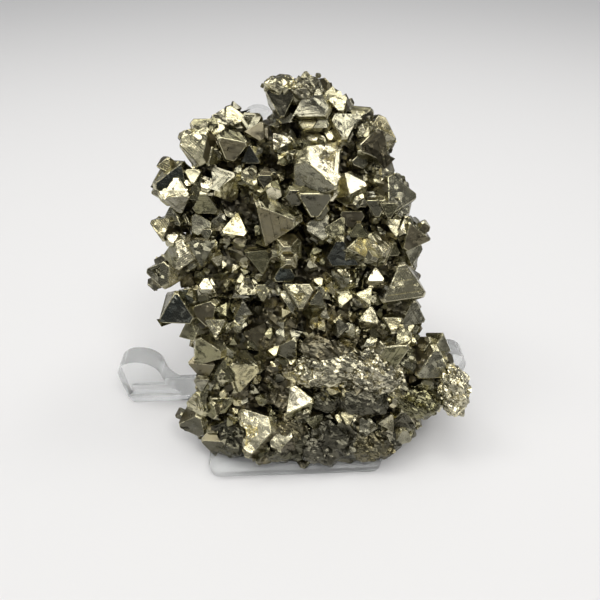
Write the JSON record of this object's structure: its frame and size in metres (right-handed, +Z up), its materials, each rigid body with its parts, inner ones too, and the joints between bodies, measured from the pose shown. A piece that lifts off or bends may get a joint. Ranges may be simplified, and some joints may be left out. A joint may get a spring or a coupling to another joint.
{
  "type": "pyrite specimen on display stand",
  "caption": "Cluster of octahedral pyrite crystals on massive pyrite, leaning back on a clear plastic display stand.",
  "frame": {"origin": "on the surface the stand rests on, below the middle of the stand between its two ears", "axes": "+Z up, -Y out of the front of the specimen, +X to the right seen from the front"},
  "size_m": [0.075, 0.0506, 0.0635],
  "materials": {
    "pyrite": "natural metallic crystal faces, pale brass, partly tarnished and pitted",
    "clear_plastic": "clear moulded polystyrene, glossy, see-through"
  },
  "bodies": {
    "root": {"pyrite_cluster": "pyrite", "display_stand": "clear_plastic"}
  },
  "joints": []
}
